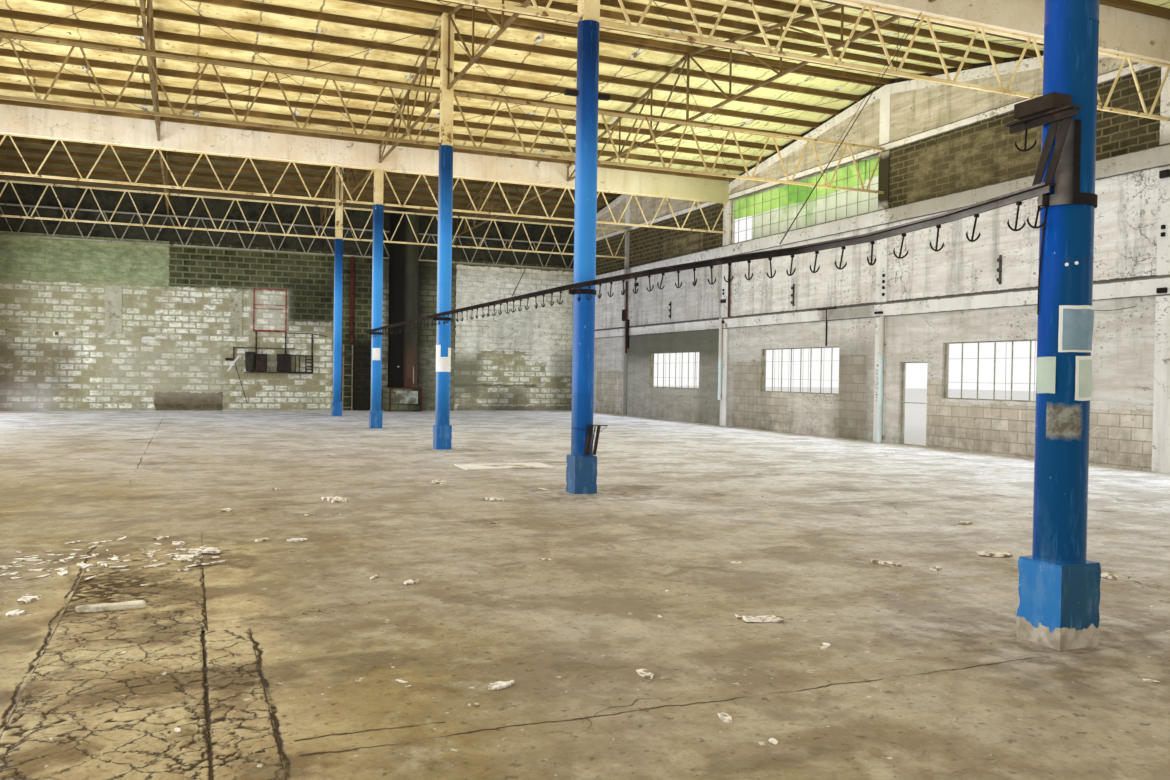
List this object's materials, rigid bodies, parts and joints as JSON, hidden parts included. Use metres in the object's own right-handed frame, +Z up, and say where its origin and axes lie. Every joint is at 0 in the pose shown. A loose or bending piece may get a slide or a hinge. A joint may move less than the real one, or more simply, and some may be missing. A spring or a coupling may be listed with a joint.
{
  "type": "factory building, 1:2 scale model",
  "caption": "Single-storey two-aisle factory hall at 1:2 with a central row of round columns, lattice girders, low gabled roof and windowed block walls.",
  "frame": {"origin": "middle of the footprint at ground level", "axes": "+X to the wall with the tarpaulin, +Y to the back wall with the flue, +Z up"},
  "size_m": [12.3, 23.17, 4.911],
  "materials": {
    "concrete_floor": "worn trowelled concrete",
    "column_enamel": "glossy blue enamel, scraped",
    "cream_steel": "cream paint with rust at the joints",
    "grey_steel": "dusty grey paint",
    "frame_plaster": "limewashed concrete",
    "panel_plaster": "stained plaster over blocks",
    "wall_blocks": "bare concrete blocks",
    "end_bricks": "part limewashed brickwork",
    "pier_bricks": "sooty brickwork",
    "dark_cladding": "dark ribbed sheet",
    "valley_concrete": "off-white painted concrete",
    "purlin_timber": "dusty brown timber",
    "roof_sheet": "weathered corrugated sheet",
    "roof_foil": "yellowed insulating foil",
    "rail_steel": "rusted dark steel",
    "old_timber": "dark old timber",
    "grey_pipe": "pale blue-grey pipe",
    "porcelain": "dirty glazed spools on a steel bar",
    "flue_steel": "sooty sheet steel",
    "base_masonry": "sooty masonry",
    "ladder_steel": "rusty steel",
    "rack_steel": "red oxide primer",
    "tarpaulin_cloth": "green and white sheeting"
  },
  "bodies": {
    "root": {"floor_slab": "concrete_floor", "column_1": "column_enamel", "column_2": "column_enamel", "column_3": "column_enamel", "column_4": "column_enamel", "column_5": "column_enamel", "column_heads": "cream_steel", "right_posts": "frame_plaster", "right_beams": "frame_plaster", "right_piers": "wall_blocks", "right_spandrels": "wall_blocks", "right_upper_walls": "panel_plaster", "left_posts": "frame_plaster", "left_beams": "frame_plaster", "left_piers": "wall_blocks", "left_spandrels": "wall_blocks", "left_upper_walls": "panel_plaster", "back_wall": "end_bricks", "front_wall": "end_bricks", "end_lintels": "end_bricks", "end_claddings": "dark_cladding", "back_pier": "pier_bricks", "valley_beams": "valley_concrete", "ridge_girders": "cream_steel", "valley_girders": "cream_steel", "end_girders": "grey_steel", "roof_truss_left": "cream_steel", "roof_truss_row": "cream_steel", "roof_truss_right": "cream_steel", "rising_purlins": "purlin_timber", "falling_purlins": "purlin_timber", "rising_roof": "roof_sheet", "falling_roof": "roof_sheet", "roof_lining": "roof_foil", "ridge_caps": "roof_sheet", "valley_gutters": "roof_sheet", "hook_rail": "rail_steel", "rail_hooks": "rail_steel", "rail_clamps": "rail_steel", "rail_stays": "rail_steel", "column_arms": "old_timber", "downpipes": "grey_pipe", "old_pipes": "ladder_steel", "insulator_racks": "porcelain", "flue": "flue_steel", "flue_base_block": "base_masonry", "ladder": "ladder_steel", "back_strips": "end_bricks", "wall_rack": "rack_steel", "tarpaulin": "tarpaulin_cloth"}
  },
  "joints": []
}
